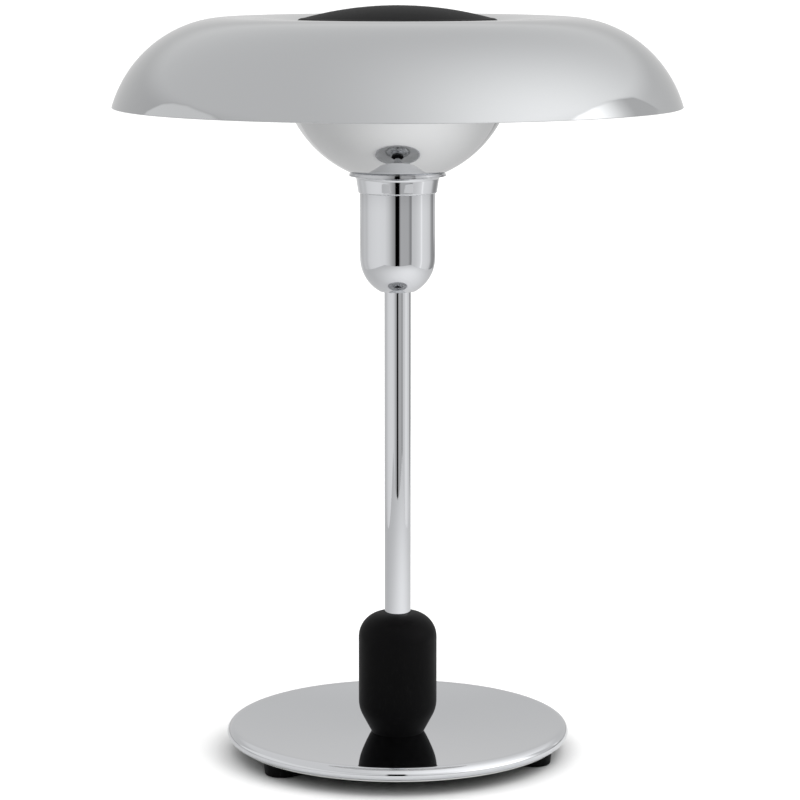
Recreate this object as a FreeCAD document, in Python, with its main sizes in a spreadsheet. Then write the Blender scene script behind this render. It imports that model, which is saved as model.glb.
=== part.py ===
import FreeCAD, Part
import math
import os
import Sketcher

# Desk lamp: a wide spun shade with a black cap, carried on three arms above a reflector bowl,
# on a slim stem with a rubber grip and a heavy dished base on three rubber feet.
# Millimetres, +Z up, the floor at zero and the lamp's axis on Z. The front faces -Y.

# Driving sizes
SIZES = {
    # Base
    "base_radius": 92.0,
    "base_wall": 1.5,
    "base_seat_radius": 15.0,
    "dish_round": 1400.0,
    "rim_top_round": 3.9,
    "rim_low_round": 2.6,
    "rim_lip_width": 2.2,
    "plate_inset": 0.4,
    "plate_thickness": 0.8,
    "weight_side_gap": 0.7,
    "weight_gap": 0.8,
    "weight_bore_radius": 44.0,
    "weight_bore_height": 0.9,
    # Feet
    "foot_height": 7.6,
    "foot_top_radius": 9.5,
    "foot_low_radius": 8.8,
    "foot_round": 1.2,
    "foot_edge_gap": 1.5,
    "foot_phase": 98.5,
    "foot_seat_height": 4.2,
    "foot_recess_radius": 3.6,
    "foot_screw_radius": 1.5,
    "foot_screw_head_radius": 3.0,
    "foot_screw_head_height": 1.6,
    "foot_screw_grip": 2.8,
    "screw_clearance": 0.2,
    # Threaded tubes that hold the stem at both ends
    "nipple_radius": 5.0,
    "nipple_bore_radius": 4.0,
    "nipple_engagement": 12.0,
    "nipple_clearance": 0.2,
    "washer_radius": 11.0,
    "washer_thickness": 1.0,
    "nut_flat_radius": 7.0,
    "nut_height": 2.2,
    "nipple_stand_out": 0.2,
    "cup_washer_radius": 7.5,
    "cup_washer_thickness": 1.0,
    "cord_bush_bore_radius": 3.0,
    "cord_bush_length": 5.6,
    "cord_bush_flange_radius": 6.0,
    "cord_bush_flange": 1.0,
    # Stem and grip
    "stem_radius": 7.0,
    "stem_bore_radius": 4.5,
    "stem_length": 239.6,
    "grip_radius": 21.0,
    "grip_foot_radius": 14.0,
    "grip_height": 65.7,
    "grip_taper": 28.0,
    "grip_low_round": 17.0,
    "grip_shoulder_round": 13.4,
    # Cup and collar
    "cup_radius": 19.8,
    "cup_height": 51.9,
    "cup_wall": 1.0,
    "cup_round": 20.5,
    "cup_floor_radius": 9.6,
    "collar_height": 10.0,
    "collar_step": 0.9,
    "collar_taper": 0.9,
    "collar_lip_width": 3.8,
    "collar_lip_thickness": 0.9,
    "collar_foot_round": 0.9,
    "collar_flare_round": 2.4,
    "collar_plate_thickness": 2.0,
    "collar_spigot": 3.0,
    # Lampholder
    "holder_clearance": 0.3,
    "holder_lift": 4.4,
    "holder_radius": 15.0,
    "holder_skirt_radius": 14.0,
    "holder_wall": 2.0,
    "holder_round": 5.0,
    "holder_floor": 12.0,
    "holder_cap_height": 26.9,
    "holder_flange": 4.0,
    "holder_body_height": 36.0,
    "holder_bore_radius": 9.0,
    "insert_lift": 2.0,
    "insert_height": 8.0,
    "shell_clearance": 0.3,
    "shell_wall": 0.4,
    "shell_height": 22.0,
    "contact_rise": 2.0,
    "contact_thickness": 0.5,
    "contact_width": 4.0,
    "contact_foot": 5.5,
    "contact_heel": 2.0,
    "contact_toe": 3.0,
    "terminal_circle_radius": 5.0,
    "terminal_screw_radius": 1.3,
    "terminal_head_radius": 2.2,
    "terminal_head_height": 1.6,
    "terminal_screw_length": 5.0,
    # Reflector bowl
    "bowl_mouth_radius": 57.5,
    "bowl_mouth_draw": 3.7,
    "bowl_floor_margin": 2.4,
    "bowl_wall": 1.2,
    "ring_nut_radius": 19.5,
    "ring_nut_height": 4.0,
    "ring_nut_notch": 3.0,
    "ring_nut_notch_depth": 1.6,
    # Carrier of the shade
    "carrier_ring_radius": 22.0,
    "carrier_ring_thickness": 1.5,
    "carrier_height": 73.3,
    "arm_radius": 30.0,
    "arm_bend": 6.0,
    "arm_thickness": 1.5,
    "arm_width": 8.0,
    "arm_foot_gap": 0.5,
    "arm_tip_radius": 12.0,
    "arm_phase": 90.0,
    "hub_radius": 26.0,
    "hub_bore_radius": 9.0,
    "hub_thickness": 1.5,
    "gasket_radius": 24.0,
    "gasket_bore_radius": 12.0,
    "gasket_thickness": 1.5,
    # Shade
    "shade_radius": 149.0,
    "shade_wall": 1.2,
    "flank_round_share": 0.9548,
    "shoulder_round_share": 1.1774,
    "shade_shoulder_slope": 22.1,
    "shade_dip": 4.3,
    "shade_dip_round": 95.9,
    "shade_edge_round": 0.75,
    "boss_clearance": 0.3,
    "boss_drop": 6.3,
    "boss_spigot_radius": 4.0,
    # Cap
    "cap_radius": 52.3,
    "cap_rise": 9.0,
    "cap_dome_rise": 6.75,
    "cap_seat_gap": 0.7,
    "cap_wall": 2.0,
    "cap_edge_round": 2.8,
    "cap_edge_width": 3.4,
    "cap_heel_round": 0.9,
    "cap_boss_radius": 6.0,
    "stud_radius": 3.0,
    "stud_rise": 5.5,
    # Bulb
    "bulb_radius": 22.5,
    "bulb_centre_rise": 53.0,
    "bulb_wall": 0.8,
    "bulb_neck_radius": 6.3,
    "bulb_neck_join": 12.0,
    "bulb_neck_round": 12.0,
    "bulb_neck_rise": 24.0,
    "bulb_cap_radius": 6.85,
    "bulb_cap_rise": 4.0,
    "bulb_cap_height": 18.0,
    "bulb_neck_insert": 2.0,
    "bulb_contact_radius": 2.4,
    "bulb_contact_height": 1.2,
    "bulb_insulator_overlap": 2.0,
}
FOOT_COUNT = 3
ARM_COUNT = 3
NOTCH_COUNT = 6
TERMINAL_COUNT = 2
NUT_SIDES = 6
FULL_TURN = 360.0
LEFT = 1
RIGHT = -1

doc = FreeCAD.newDocument("DeskLamp")
sheet = doc.addObject("Spreadsheet::Sheet", "Sizes")
for row, (size_name, size_value) in enumerate(SIZES.items(), start=1):
    sheet.set(f"A{row}", size_name)
    sheet.set(f"B{row}", str(size_value))
    sheet.setAlias(f"B{row}", size_name)
doc.recompute()


class Size:
    """A value and the formula in sheet names that gives it."""

    def __init__(self, value, text):
        self.value = value
        self.text = text

    def __add__(self, other):
        return Size(self.value + other.value, f"({self.text} + {other.text})")

    def __sub__(self, other):
        return Size(self.value - other.value, f"({self.text} - {other.text})")

    def __mul__(self, other):
        if isinstance(other, Size):
            return Size(self.value * other.value, f"({self.text} * {other.text})")
        return Size(self.value * other, f"({self.text} * {other})")

    def __truediv__(self, other):
        if isinstance(other, Size):
            return Size(self.value / other.value, f"({self.text} / {other.text})")
        return Size(self.value / other, f"({self.text} / {other})")


class Names:
    """Every driving size, reached by its name."""

    def __init__(self, table):
        for name, value in table.items():
            setattr(self, name, Size(value, f"Sizes.{name}"))


def root(size):
    """Square root of a size."""
    return Size(math.sqrt(size.value), f"sqrt({size.text})")


def sine(angle):
    """Sine of an angle in degrees."""
    return Size(math.sin(math.radians(angle.value)), f"sin({angle.text})")


def cosine(angle):
    """Cosine of an angle in degrees."""
    return Size(math.cos(math.radians(angle.value)), f"cos({angle.text})")


def leg(hypotenuse, other_leg):
    """The third side of a right-angled triangle."""
    return root(hypotenuse * hypotenuse - other_leg * other_leg)


s = Names(SIZES)
ZERO = Size(0.0, "0")
pieces = {}


def bind(sketch, size, *constraint):
    """Add a dimension to a sketch and tie it to its formula."""
    index = sketch.addConstraint(Sketcher.Constraint(*constraint, size.value))
    sketch.setExpression(f"Constraints[{index}]", size.text)


def pin_point(sketch, geometry, end, x, y):
    """Fix a point of a sketch at two sizes from the origin."""
    if x is ZERO:
        sketch.addConstraint(Sketcher.Constraint("PointOnObject", geometry, end, -2))
    else:
        bind(sketch, x, "DistanceX", -1, 1, geometry, end)
    if y is ZERO:
        sketch.addConstraint(Sketcher.Constraint("PointOnObject", geometry, end, -1))
    else:
        bind(sketch, y, "DistanceY", -1, 1, geometry, end)


def arc_between(start, end, turn, radius):
    """The short arc from start to end, turning left or right, drawn counter-clockwise."""
    chord = end - start
    left = FreeCAD.Vector(-chord.y, chord.x, 0).normalize()
    rise = math.sqrt(max(radius ** 2 - (chord.Length / 2) ** 2, 0))
    centre = (start + end) / 2 + left * (rise * turn)
    first, last = (start, end) if turn == LEFT else (end, start)
    first_angle = math.atan2(first.y - centre.y, first.x - centre.x)
    last_angle = math.atan2(last.y - centre.y, last.x - centre.x)
    if last_angle < first_angle:
        last_angle += 2 * math.pi
    circle = Part.Circle(centre, FreeCAD.Vector(0, 0, 1), radius)
    return Part.ArcOfCircle(circle, first_angle, last_angle)


def draw_outline(sketch, corners):
    """A closed outline. A corner is (x, y), or (x, y, turn, radius) where an arc leaves it."""
    points = [FreeCAD.Vector(corner[0].value, corner[1].value, 0) for corner in corners]
    ends = []
    for index, corner in enumerate(corners):
        start = points[index]
        end = points[(index + 1) % len(corners)]
        if len(corner) == 2:
            geometry = sketch.addGeometry(Part.LineSegment(start, end), False)
            ends.append((geometry, 1, 2))
        else:
            turn, radius = corner[2:]
            geometry = sketch.addGeometry(arc_between(start, end, turn, radius.value), False)
            ends.append((geometry, 1, 2) if turn == LEFT else (geometry, 2, 1))
    for index, (geometry, _, last) in enumerate(ends):
        following, first, _ = ends[(index + 1) % len(ends)]
        sketch.addConstraint(Sketcher.Constraint("Coincident", geometry, last, following, first))
    for corner, (geometry, first, _) in zip(corners, ends):
        pin_point(sketch, geometry, first, corner[0], corner[1])
        if len(corner) > 2:
            bind(sketch, corner[3], "Radius", geometry)


def draw_circle(sketch, x, y, radius):
    """A circle with its centre and radius bound."""
    centre = FreeCAD.Vector(x.value, y.value, 0)
    circle = Part.Circle(centre, FreeCAD.Vector(0, 0, 1), radius.value)
    geometry = sketch.addGeometry(circle, False)
    pin_point(sketch, geometry, 3, x, y)
    bind(sketch, radius, "Radius", geometry)


def new_body(label):
    """An empty body that makes one sub-part."""
    body = doc.addObject("PartDesign::Body", label)
    body.Label = label
    pieces[label] = body
    return body


def new_sketch(body, role, name):
    """A sketch on one of the body's own origin planes."""
    sketch = body.newObject("Sketcher::SketchObject", name)
    plane = [feature for feature in body.Origin.OriginFeatures if feature.Role == role][0]
    sketch.AttachmentSupport = (plane, [""])
    sketch.MapMode = "FlatFace"
    return sketch


def raise_sketch(sketch, height):
    """Lift a horizontal sketch to a height."""
    sketch.setExpression("AttachmentOffset.Base.z", height.text)


def turned(label, corners):
    """A body of revolution: corners are radius and height."""
    body = new_body(label)
    sketch = new_sketch(body, "XZ_Plane", f"{label}_profile")
    draw_outline(sketch, corners)
    turning = body.newObject("PartDesign::Revolution", f"{label}_turning")
    turning.Profile = sketch
    turning.ReferenceAxis = (sketch, ["V_Axis"])
    turning.Angle = FULL_TURN
    return body


def place(body, x, y, z):
    """Move a body to a place given in sizes."""
    for axis, size in (("x", x), ("y", y), ("z", z)):
        if size is not ZERO:
            body.setExpression(f"Placement.Base.{axis}", size.text)


def on_circle(radius, angle):
    """The x and y of a place on a circle about the lamp's axis."""
    return radius * cosine(angle), radius * sine(angle)


def spaced(phase, index, count):
    """The angle of one of several places spaced evenly from a phase."""
    return Size(phase.value + index * FULL_TURN / count, f"({phase.text} + {index} * {FULL_TURN} / {count})")


def drill_ring(body, name, height, x, y, radius, depth, count, upward):
    """Drill a hole and repeat it evenly round the lamp's axis."""
    sketch = new_sketch(body, "XY_Plane", f"{name}_sketch")
    raise_sketch(sketch, height)
    draw_circle(sketch, x, y, radius)
    before = body.Shape.Volume
    pocket = body.newObject("PartDesign::Pocket", name)
    pocket.Profile = sketch
    pocket.Reversed = upward
    pocket.setExpression("Length", depth.text)
    repeat_ring(body, pocket, count)
    check_cut(body, before)


def repeat_ring(body, feature, count):
    """Repeat a feature evenly round the lamp's axis."""
    axis = [item for item in body.Origin.OriginFeatures if item.Role == "Z_Axis"][0]
    pattern = body.newObject("PartDesign::PolarPattern", f"{feature.Name}_ring")
    pattern.Originals = [feature]
    pattern.Axis = (axis, [""])
    pattern.Angle = FULL_TURN
    pattern.Occurrences = count
    body.Tip = pattern


def check_cut(body, before):
    """Stop if a cut took nothing away."""
    doc.recompute()
    if not body.Shape.Volume < before:
        raise RuntimeError(f"{body.Label}: a cut removes nothing")


def hex_nut(label, flat_radius, bore_radius, low, height):
    """A hexagon nut with its bore."""
    block = doc.addObject("Part::Prism", f"{label}_block")
    block.Polygon = NUT_SIDES
    half_side = Size(FULL_TURN / NUT_SIDES / 2, f"({FULL_TURN} / {NUT_SIDES} / 2)")
    block.setExpression("Circumradius", (flat_radius / cosine(half_side)).text)
    block.setExpression("Height", height.text)
    bore = doc.addObject("Part::Cylinder", f"{label}_bore")
    bore.setExpression("Radius", bore_radius.text)
    bore.setExpression("Height", height.text)
    nut = doc.addObject("Part::Cut", label)
    nut.Base = block
    nut.Tool = bore
    nut.Label = label
    nut.setExpression("Placement.Base.z", low.text)
    pieces[label] = nut


def tube(low, high, inner, outer):
    """The four corners of a plain tube or disc."""
    return [(inner, low), (outer, low), (outer, high), (inner, high)]


# Levels up the lamp, each from the piece below it
plate_top = s.foot_height + s.plate_thickness
seat = plate_top + s.base_wall
stem_top = seat + s.stem_length
cup_top = stem_top + s.cup_height
collar_top = cup_top + s.collar_height
bowl_floor = collar_top + s.bowl_wall
ring_top = bowl_floor + s.carrier_ring_thickness
hub_top = ring_top + s.carrier_height
gasket_top = hub_top + s.gasket_thickness
shade_flat = gasket_top + s.shade_wall

# Reaches from the lamp's axis, each from the piece beside it
rim_low = s.base_radius - s.rim_low_round
rim_lip = rim_low - s.rim_lip_width
plate_edge = rim_low - s.plate_inset
weight_edge = rim_lip - s.weight_side_gap
foot_circle = plate_edge - s.foot_edge_gap - s.foot_top_radius
collar_foot = s.cup_radius + s.collar_step
collar_neck = collar_foot + s.collar_taper
collar_lip = collar_neck + s.collar_lip_width
bowl_seat = collar_lip - s.bowl_floor_margin
skirt_bore = s.holder_skirt_radius + s.holder_clearance
shell_bore = s.bulb_cap_radius + s.shell_clearance
shade_seat = s.cap_radius + s.cap_seat_gap


def make_base():
    """Dished cover, cast weight ring and underside plate."""
    rim_centre = plate_top + s.rim_low_round
    crest_radius = s.base_radius - s.rim_top_round
    crest = rim_centre + s.rim_top_round
    bore = s.nipple_radius + s.nipple_clearance
    wall = s.base_wall
    turned("base_cover", [
        (bore, seat),
        (bore, plate_top),
        (s.base_seat_radius, plate_top, LEFT, s.dish_round + wall),
        (crest_radius, crest - wall, RIGHT, s.rim_top_round - wall),
        (s.base_radius - wall, rim_centre, RIGHT, s.rim_low_round - wall),
        (rim_low, plate_top + wall),
        (rim_lip, plate_top + wall),
        (rim_lip, plate_top),
        (rim_low, plate_top, LEFT, s.rim_low_round),
        (s.base_radius, rim_centre, LEFT, s.rim_top_round),
        (crest_radius, crest, RIGHT, s.dish_round),
        (s.base_seat_radius, seat),
    ])
    foot_x, foot_y = on_circle(foot_circle, s.foot_phase)
    weight = turned("base_weight", [
        (s.weight_bore_radius, plate_top),
        (weight_edge, plate_top),
        (weight_edge, crest - wall - s.weight_gap),
        (s.weight_bore_radius, plate_top + s.weight_bore_height),
    ])
    doc.recompute()
    drill_ring(weight, "weight_tapping", plate_top, foot_x, foot_y, s.foot_screw_radius,
               s.foot_screw_grip, FOOT_COUNT, True)
    plate = new_body("base_plate")
    sketch = new_sketch(plate, "XY_Plane", "base_plate_outline")
    raise_sketch(sketch, s.foot_height)
    draw_circle(sketch, ZERO, ZERO, plate_edge)
    draw_circle(sketch, ZERO, ZERO, bore)
    disc = plate.newObject("PartDesign::Pad", "base_plate_disc")
    disc.Profile = sketch
    disc.setExpression("Length", s.plate_thickness.text)
    doc.recompute()
    drill_ring(plate, "plate_holes", s.foot_height, foot_x, foot_y,
               s.foot_screw_radius + s.screw_clearance, s.plate_thickness, FOOT_COUNT, True)


def make_feet():
    """Three rubber feet, each with a screw up into the weight."""
    hole = s.foot_screw_radius + s.screw_clearance
    screws = []
    for index, side in enumerate(("rear", "left", "right")):
        x, y = on_circle(foot_circle, spaced(s.foot_phase, index, FOOT_COUNT))
        foot = turned(f"foot_{side}", [
            (hole, s.foot_seat_height),
            (s.foot_recess_radius, s.foot_seat_height),
            (s.foot_recess_radius, ZERO),
            (s.foot_low_radius - s.foot_round, ZERO, LEFT, s.foot_round),
            (s.foot_low_radius, s.foot_round),
            (s.foot_top_radius, s.foot_height),
            (hole, s.foot_height),
        ])
        place(foot, x, y, ZERO)
        screw = turned(f"foot_screw_{side}", [
            (ZERO, s.foot_seat_height - s.foot_screw_head_height),
            (s.foot_screw_head_radius, s.foot_seat_height - s.foot_screw_head_height),
            (s.foot_screw_head_radius, s.foot_seat_height),
            (s.foot_screw_radius, s.foot_seat_height),
            (s.foot_screw_radius, plate_top + s.foot_screw_grip),
            (ZERO, plate_top + s.foot_screw_grip),
        ])
        place(screw, x, y, ZERO)
        screws.append(pieces.pop(f"foot_screw_{side}"))
    group("foot_screws", screws)


def group(label, members):
    """Identical fasteners kept together as one sub-part."""
    compound = doc.addObject("Part::Compound", label)
    compound.Links = members
    compound.Label = label
    pieces[label] = compound


def make_base_fixing():
    """Threaded tube, washer, nut and cord bush under the stem."""
    nut_low = s.foot_height - s.washer_thickness - s.nut_height
    tube_low = nut_low - s.nipple_stand_out
    turned("lower_nipple", tube(tube_low, seat + s.nipple_engagement, s.nipple_bore_radius, s.nipple_radius))
    turned("base_washer", tube(s.foot_height - s.washer_thickness, s.foot_height,
                               s.nipple_radius + s.nipple_clearance, s.washer_radius))
    hex_nut("base_nut", s.nut_flat_radius, s.nipple_radius, nut_low, s.nut_height)
    turned("cord_bush", [
        (s.cord_bush_bore_radius, tube_low - s.cord_bush_flange),
        (s.cord_bush_flange_radius - s.cord_bush_flange, tube_low - s.cord_bush_flange, LEFT, s.cord_bush_flange),
        (s.cord_bush_flange_radius, tube_low),
        (s.nipple_bore_radius, tube_low),
        (s.nipple_bore_radius, tube_low + s.cord_bush_length),
        (s.cord_bush_bore_radius, tube_low + s.cord_bush_length),
    ])


def make_stem():
    """Chromed tube with both ends opened out for the threaded tubes, and the rubber grip."""
    turned("stem", [
        (s.nipple_radius, seat),
        (s.stem_radius, seat),
        (s.stem_radius, stem_top),
        (s.nipple_radius, stem_top),
        (s.nipple_radius, stem_top - s.nipple_engagement),
        (s.stem_bore_radius, stem_top - s.nipple_engagement),
        (s.stem_bore_radius, seat + s.nipple_engagement),
        (s.nipple_radius, seat + s.nipple_engagement),
    ])
    across = sine(s.grip_taper)
    up = cosine(s.grip_taper)
    cone_radius = s.grip_radius - s.grip_low_round + s.grip_low_round * up
    cone_top = seat + (cone_radius - s.grip_foot_radius) * up / across
    grip_top = seat + s.grip_height
    turned("grip", [
        (s.stem_radius, seat),
        (s.grip_foot_radius, seat),
        (cone_radius, cone_top, LEFT, s.grip_low_round),
        (s.grip_radius, cone_top + s.grip_low_round * across),
        (s.grip_radius, grip_top - s.grip_shoulder_round, LEFT, s.grip_shoulder_round),
        (s.grip_radius - s.grip_shoulder_round, grip_top),
        (s.stem_radius, grip_top),
    ])


def make_cup():
    """Round-bottomed cup, held by a threaded tube and nut on the stem."""
    wall = s.cup_wall
    centre_radius = s.cup_radius - s.cup_round
    centre_rise = leg(s.cup_round, s.cup_floor_radius - centre_radius)
    inner_round = s.cup_round - wall
    turned("cup", [
        (s.nipple_radius + s.nipple_clearance, stem_top),
        (s.cup_floor_radius, stem_top, LEFT, s.cup_round),
        (s.cup_radius, stem_top + centre_rise),
        (s.cup_radius, cup_top),
        (s.cup_radius - wall, cup_top),
        (s.cup_radius - wall, stem_top + centre_rise, RIGHT, inner_round),
        (centre_radius + leg(inner_round, centre_rise - wall), stem_top + wall),
        (s.nipple_radius + s.nipple_clearance, stem_top + wall),
    ])
    holder_low = stem_top + wall + s.holder_lift
    turned("upper_nipple", tube(stem_top - s.nipple_engagement, holder_low + s.holder_floor - s.holder_wall,
                                s.nipple_bore_radius, s.nipple_radius))
    washer_top = stem_top + wall + s.cup_washer_thickness
    turned("cup_washer", tube(stem_top + wall, washer_top, s.nipple_radius + s.nipple_clearance,
                              s.cup_washer_radius))
    hex_nut("cup_nut", s.nut_flat_radius, s.nipple_radius, washer_top, s.nut_height)


def make_collar():
    """Flared collar with a thin lip, centred in the cup by a spigot."""
    spigot_outer = s.cup_radius - s.cup_wall
    spigot_inner = spigot_outer - s.cup_wall
    bore = s.holder_radius + s.holder_clearance
    lip_low = collar_top - s.collar_lip_thickness
    plate_low = collar_top - s.collar_plate_thickness
    turned("collar", [
        (spigot_inner, cup_top - s.collar_spigot),
        (spigot_outer, cup_top - s.collar_spigot),
        (spigot_outer, cup_top),
        (collar_foot - s.collar_foot_round, cup_top, LEFT, s.collar_foot_round),
        (collar_foot, cup_top + s.collar_foot_round),
        (collar_neck, lip_low - s.collar_flare_round, RIGHT, s.collar_flare_round),
        (collar_neck + s.collar_flare_round, lip_low),
        (collar_lip, lip_low),
        (collar_lip, collar_top),
        (bore, collar_top),
        (bore, plate_low),
        (spigot_inner, plate_low),
    ])


def make_lampholder():
    """Two-part lampholder with its ceramic insert, threaded shell, contact and screws."""
    low = stem_top + s.cup_wall + s.holder_lift
    joint = low + s.holder_cap_height
    top = joint + s.holder_body_height
    turned("holder_cap", [
        (s.nipple_radius, low),
        (s.holder_radius - s.holder_round, low, LEFT, s.holder_round),
        (s.holder_radius, low + s.holder_round),
        (s.holder_radius, joint),
        (s.holder_radius - s.holder_wall, joint),
        (s.holder_radius - s.holder_wall, low + s.holder_floor),
        (s.nipple_radius, low + s.holder_floor),
    ])
    turned("holder_body", [
        (s.holder_bore_radius, joint),
        (s.holder_radius, joint),
        (s.holder_radius, joint + s.holder_flange),
        (s.holder_skirt_radius, joint + s.holder_flange),
        (s.holder_skirt_radius, top),
        (s.holder_bore_radius, top),
    ])
    insert_low = joint + s.insert_lift
    insert_top = insert_low + s.insert_height
    insert = turned("holder_insert", [
        (ZERO, insert_low),
        (s.holder_bore_radius, insert_low),
        (s.holder_bore_radius, insert_top),
        (ZERO, insert_top),
    ])
    doc.recompute()
    drill_ring(insert, "insert_tapping", insert_low, s.terminal_circle_radius, ZERO,
               s.terminal_screw_radius, s.terminal_screw_length, TERMINAL_COUNT, True)
    turned("screw_shell", tube(insert_top, insert_top + s.shell_height,
                               shell_bore, shell_bore + s.shell_wall))
    tongue = s.contact_thickness
    strip("centre_contact", [
        (ZERO - s.contact_foot, insert_top),
        (ZERO - s.contact_heel, insert_top),
        (ZERO - s.contact_heel + tongue, insert_top + tongue),
        (ZERO - tongue, insert_top + s.contact_rise - tongue),
        (s.contact_toe, insert_top + s.contact_rise - tongue),
        (s.contact_toe, insert_top + s.contact_rise),
        (ZERO - tongue, insert_top + s.contact_rise),
        (ZERO - s.contact_heel, insert_top + tongue),
        (ZERO - s.contact_foot, insert_top + tongue),
    ], s.contact_width)
    screws = []
    for index in range(TERMINAL_COUNT):
        name = f"terminal_screw_{index + 1}"
        screw = turned(name, [
            (ZERO, insert_low - s.terminal_head_height),
            (s.terminal_head_radius, insert_low - s.terminal_head_height),
            (s.terminal_head_radius, insert_low),
            (s.terminal_screw_radius, insert_low),
            (s.terminal_screw_radius, insert_low + s.terminal_screw_length),
            (ZERO, insert_low + s.terminal_screw_length),
        ])
        x, y = on_circle(s.terminal_circle_radius, spaced(ZERO, index, TERMINAL_COUNT))
        place(screw, x, y, ZERO)
        screws.append(pieces.pop(name))
    group("terminal_screws", screws)


def strip(label, corners, width):
    """A strip of sheet: its bent outline padded to both sides."""
    body = new_body(label)
    sketch = new_sketch(body, "XZ_Plane", f"{label}_outline")
    draw_outline(sketch, corners)
    pad = body.newObject("PartDesign::Pad", f"{label}_pad")
    pad.Profile = sketch
    pad.SideType = "Symmetric"
    pad.setExpression("Length", width.text)
    return body


def make_bowl():
    """Spherical reflector bowl and the notched ring nut that clamps it."""
    sphere = s.bowl_mouth_radius + s.bowl_mouth_draw
    wall = s.bowl_wall
    centre_rise = leg(sphere, bowl_seat)
    mouth_drop = leg(sphere, s.bowl_mouth_radius)
    mouth = collar_top + centre_rise - mouth_drop
    turned("bowl", [
        (skirt_bore, collar_top),
        (bowl_seat, collar_top, LEFT, sphere),
        (s.bowl_mouth_radius, mouth),
        (leg(sphere - wall, mouth_drop), mouth, RIGHT, sphere - wall),
        (leg(sphere - wall, centre_rise - wall), bowl_floor),
        (skirt_bore, bowl_floor),
    ])
    nut_top = ring_top + s.ring_nut_height
    nut = turned("ring_nut", tube(ring_top, nut_top, s.holder_skirt_radius, s.ring_nut_radius))
    doc.recompute()
    before = nut.Shape.Volume
    sketch = new_sketch(nut, "XZ_Plane", "ring_nut_notch_outline")
    half = s.ring_nut_notch / 2
    draw_outline(sketch, [
        (ZERO - half, nut_top - s.ring_nut_notch_depth),
        (half, nut_top - s.ring_nut_notch_depth),
        (half, nut_top),
        (ZERO - half, nut_top),
    ])
    notch = nut.newObject("PartDesign::Pocket", "ring_nut_notch")
    notch.Profile = sketch
    notch.setExpression("Length", s.ring_nut_radius.text)
    repeat_ring(nut, notch, NOTCH_COUNT)
    check_cut(nut, before)


def make_carrier():
    """Ring, three bent arms, hub and gasket that the shade sits on."""
    turned("carrier_ring", tube(bowl_floor, ring_top, skirt_bore, s.carrier_ring_radius))
    hub_low = hub_top - s.hub_thickness
    wall = s.arm_thickness
    outer_bend = s.arm_radius - s.arm_bend
    inner_bend = s.arm_bend - wall
    foot = s.ring_nut_radius + s.arm_foot_gap
    for index, side in enumerate(("rear", "left", "right")):
        arm = strip(f"carrier_arm_{side}", [
            (foot, ring_top),
            (outer_bend, ring_top, LEFT, s.arm_bend),
            (s.arm_radius, ring_top + s.arm_bend),
            (s.arm_radius, hub_low - s.arm_bend, LEFT, s.arm_bend),
            (outer_bend, hub_low),
            (s.arm_tip_radius, hub_low),
            (s.arm_tip_radius, hub_low - wall),
            (outer_bend, hub_low - wall, RIGHT, inner_bend),
            (s.arm_radius - wall, hub_low - s.arm_bend),
            (s.arm_radius - wall, ring_top + s.arm_bend, RIGHT, inner_bend),
            (outer_bend, ring_top + wall),
            (foot, ring_top + wall),
        ], s.arm_width)
        angle = spaced(s.arm_phase, index, ARM_COUNT)
        arm.Placement.Rotation = FreeCAD.Rotation(FreeCAD.Vector(0, 0, 1), angle.value)
        arm.setExpression("Placement.Rotation.Angle", angle.text)
    turned("carrier_hub", tube(hub_low, hub_top, s.hub_bore_radius, s.hub_radius))
    turned("seat_gasket", tube(hub_top, gasket_top, s.gasket_bore_radius, s.gasket_radius))


def make_shade():
    """Spun shade: steep flank, flat shoulder, crown ring and a dip that seats the cap."""
    wall = s.shade_wall
    across = sine(s.shade_shoulder_slope)
    up = cosine(s.shade_shoulder_slope)
    crown = shade_flat + s.shade_dip
    dip_level = s.shade_dip_round - s.shade_dip
    crown_radius = shade_seat + leg(s.shade_dip_round, dip_level)
    reach = s.shade_radius - crown_radius
    flank = reach * s.flank_round_share
    shoulder = reach * s.shoulder_round_share
    shoulder_height = crown - shoulder
    flank_height = shoulder_height + (shoulder - flank) * up
    flank_centre = crown_radius + (shoulder - flank) * across
    shade_rim = flank_height + leg(flank, s.shade_radius - flank_centre)
    hole = s.boss_spigot_radius
    inner_dip = s.shade_dip_round - wall
    turned("shade", [
        (s.shade_radius, shade_rim, LEFT, flank),
        (crown_radius + shoulder * across, shoulder_height + shoulder * up, LEFT, shoulder),
        (crown_radius, crown, LEFT, s.shade_dip_round),
        (shade_seat, shade_flat),
        (hole, shade_flat),
        (hole, shade_flat - wall),
        (crown_radius - leg(inner_dip, dip_level - wall), shade_flat - wall, RIGHT, inner_dip),
        (crown_radius, crown - wall, RIGHT, shoulder - wall),
        (crown_radius + (shoulder - wall) * across, shoulder_height + (shoulder - wall) * up,
         RIGHT, flank - wall),
        (flank_centre + leg(flank - wall, shade_rim - flank_height), shade_rim, LEFT, s.shade_edge_round),
    ])
    boss = s.hub_bore_radius - s.boss_clearance
    turned("shade_boss", [
        (s.stud_radius, gasket_top - s.boss_drop),
        (boss, gasket_top - s.boss_drop),
        (boss, gasket_top),
        (hole, gasket_top),
        (hole, shade_flat),
        (s.stud_radius, shade_flat),
    ])


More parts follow.
